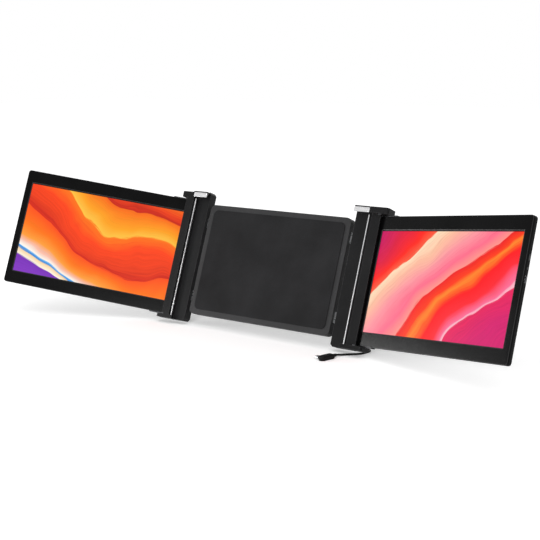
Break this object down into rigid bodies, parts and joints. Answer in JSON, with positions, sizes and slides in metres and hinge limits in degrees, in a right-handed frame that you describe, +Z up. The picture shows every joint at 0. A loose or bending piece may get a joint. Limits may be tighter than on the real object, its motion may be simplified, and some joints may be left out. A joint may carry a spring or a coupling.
{
  "type": "laptop screen extender",
  "caption": "Clamp-on extender that adds a folding side screen to each side of a laptop lid, with a sliding frame, top clips, side keys and a short captive power cable.",
  "frame": {"origin": "middle of the foam mat on the housing front, where the back of the laptop lid rests", "axes": "+X to the user's right, +Y to the back, +Z up along the lid; the user looks towards +Y"},
  "size_m": [0.8584, 0.1446, 0.2297],
  "materials": {
    "shell_black": "satin black moulded ABS, fine texture",
    "cover_black": "matt black moulded cover, fine texture",
    "bezel_black": "satin black bezel",
    "frame_black": "black powder-coated die-cast bracket",
    "mat_foam": "closed-cell EVA foam mat",
    "pad_rubber": "matt black silicone rubber",
    "guide_acetal": "natural acetal",
    "rail_steel": "brushed stainless steel",
    "clip_steel": "bright nickel-plated spring steel",
    "arm_steel": "black-coated steel",
    "screw_steel": "black-zinc screws",
    "panel": "satin anti-glare panel glass",
    "tray_steel": "pressed sheet-metal backlight tray",
    "board": "green solder-masked board with black chips",
    "connector_steel": "bright tin-plated steel",
    "key_black": "satin black keys",
    "cord_black": "black PVC cord, satin"
  },
  "bodies": {
    "housing": {"seat_mat": "mat_foam", "housing_front": "shell_black", "housing_back": "shell_black", "rail_guides": "guide_acetal", "housing_screws": "screw_steel"},
    "left_bracket": {"left_bracket_front": "frame_black", "left_bracket_rear": "shell_black", "left_slide_rails": "rail_steel", "left_side_pad": "pad_rubber", "left_edge_strip": "clip_steel", "left_hinge_barrels": "connector_steel", "left_bracket_screws": "screw_steel"},
    "left_clip": {"left_lid_clip": "clip_steel", "left_clip_cap": "frame_black"},
    "left_screen": {"left_bezel": "bezel_black", "left_back_cover": "cover_black", "left_lcd_panel": "panel", "left_backlight": "tray_steel", "left_driver_board": "board", "left_data_socket": "connector_steel", "left_key_board": "board", "left_hinge_arms": "arm_steel", "left_screen_screws": "screw_steel"},
    "left_power_key": {"left_power_button": "key_black"},
    "left_rocker_key": {"left_rocker_button": "key_black"},
    "right_bracket": {"right_bracket_front": "frame_black", "right_bracket_rear": "shell_black", "right_slide_rails": "rail_steel", "right_side_pad": "pad_rubber", "right_edge_strip": "clip_steel", "right_hinge_barrels": "connector_steel", "right_bracket_screws": "screw_steel", "cable_gland": "cord_black", "power_cable": "cord_black", "plug_grip": "cord_black", "plug_shell": "connector_steel"},
    "right_clip": {"right_lid_clip": "clip_steel", "right_clip_cap": "frame_black"},
    "right_screen": {"right_bezel": "bezel_black", "right_back_cover": "cover_black", "right_lcd_panel": "panel", "right_backlight": "tray_steel", "right_driver_board": "board", "right_data_socket": "connector_steel", "right_key_board": "board", "right_hinge_arms": "arm_steel", "right_screen_screws": "screw_steel"},
    "right_power_key": {"right_power_button": "key_black"},
    "right_rocker_key": {"right_rocker_button": "key_black"}
  },
  "joints": [
    {"name": "left_frame_slide", "type": "slide", "parent": "housing", "child": "left_bracket", "axis": [-1, 0, 0], "range_m": [-0.0057, 0.022]},
    {"name": "left_screen_fold", "type": "hinge", "parent": "left_bracket", "child": "left_screen", "pos_m": [-0.175, 0.0023, 0], "axis": [0, 0, 1], "range_deg": [-31.2, 153.8]},
    {"name": "left_clip_lift", "type": "slide", "parent": "left_bracket", "child": "left_clip", "axis": [0, 0, 1], "range_m": [0, 0.006], "stiffness_N_per_m": 250, "springref_m": -0.006},
    {"name": "left_power_press", "type": "slide", "parent": "left_screen", "child": "left_power_key", "axis": [0.8973, 0.4415, 0], "range_m": [0, 0.0004], "stiffness_N_per_m": 600, "springref_m": -0.0005},
    {"name": "left_rocker_press", "type": "slide", "parent": "left_screen", "child": "left_rocker_key", "axis": [0.8973, 0.4415, 0], "range_m": [0, 0.0004], "stiffness_N_per_m": 600, "springref_m": -0.0005},
    {"name": "right_frame_slide", "type": "slide", "parent": "housing", "child": "right_bracket", "axis": [1, 0, 0], "range_m": [-0.0057, 0.022]},
    {"name": "right_screen_fold", "type": "hinge", "parent": "right_bracket", "child": "right_screen", "pos_m": [0.175, -0.0071, 0], "axis": [0, 0, -1], "range_deg": [-25.5, 159.5]},
    {"name": "right_clip_lift", "type": "slide", "parent": "right_bracket", "child": "right_clip", "axis": [0, 0, 1], "range_m": [0, 0.006], "stiffness_N_per_m": 250, "springref_m": -0.006},
    {"name": "right_power_press", "type": "slide", "parent": "right_screen", "child": "right_power_key", "axis": [-0.9367, 0.3502, 0], "range_m": [0, 0.0004], "stiffness_N_per_m": 600, "springref_m": -0.0005},
    {"name": "right_rocker_press", "type": "slide", "parent": "right_screen", "child": "right_rocker_key", "axis": [-0.9367, 0.3502, 0], "range_m": [0, 0.0004], "stiffness_N_per_m": 600, "springref_m": -0.0005}
  ]
}
